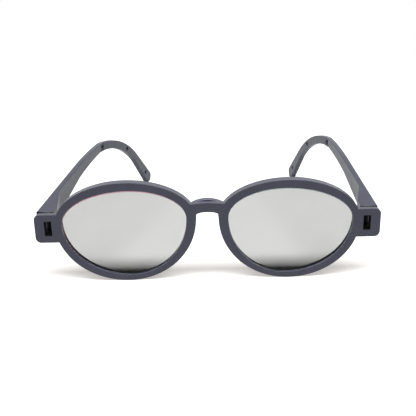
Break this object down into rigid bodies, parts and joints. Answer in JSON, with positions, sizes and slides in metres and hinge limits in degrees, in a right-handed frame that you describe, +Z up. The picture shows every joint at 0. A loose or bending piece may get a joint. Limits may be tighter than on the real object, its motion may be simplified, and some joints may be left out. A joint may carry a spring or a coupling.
{
  "type": "polarised glasses",
  "caption": "Full-rim passive 3D viewing glasses with oval laminated polarising lenses, a two-part moulded frame and folding arms with cord holes.",
  "frame": {"origin": "on the table under the middle of the glasses' width and of their depth with the wearer's left arm open", "axes": "+X towards the wearer's left, +Y from the lenses to the ears, +Z up; the glasses stand on their rims and arm tips"},
  "size_m": [0.142, 0.1357, 0.0433],
  "materials": {
    "frame_plastic": "moulded grey plastic, finely textured, satin",
    "arm_plastic": "moulded grey plastic, finely textured, satin",
    "lens_sheet": "clear cellulose sheet, glossy",
    "polarising_film": "thin grey polarising film",
    "right_retarder": "clear retarder film whose cut edge shows pink",
    "left_retarder": "clear retarder film whose cut edge shows green",
    "pin_steel": "plain steel pin"
  },
  "bodies": {
    "frame": {"front_cover": "frame_plastic", "back_frame": "frame_plastic", "right_retarder_film": "right_retarder", "right_front_sheet": "lens_sheet", "right_polarising_film": "polarising_film", "right_back_sheet": "lens_sheet", "left_retarder_film": "left_retarder", "left_front_sheet": "lens_sheet", "left_polarising_film": "polarising_film", "left_back_sheet": "lens_sheet"},
    "right_arm": {"right_arm": "arm_plastic", "right_hinge_pin": "pin_steel"},
    "left_arm": {"left_arm": "arm_plastic", "left_hinge_pin": "pin_steel"}
  },
  "joints": [
    {"name": "right_arm_fold", "type": "hinge", "parent": "frame", "child": "right_arm", "pos_m": [-0.0655, -0.06084, 0.02405], "axis": [0, 0, -1], "range_deg": [-7, 70]},
    {"name": "left_arm_fold", "type": "hinge", "parent": "frame", "child": "left_arm", "pos_m": [0.0655, -0.06084, 0.02405], "axis": [0, 0, 1], "range_deg": [0, 83]}
  ]
}
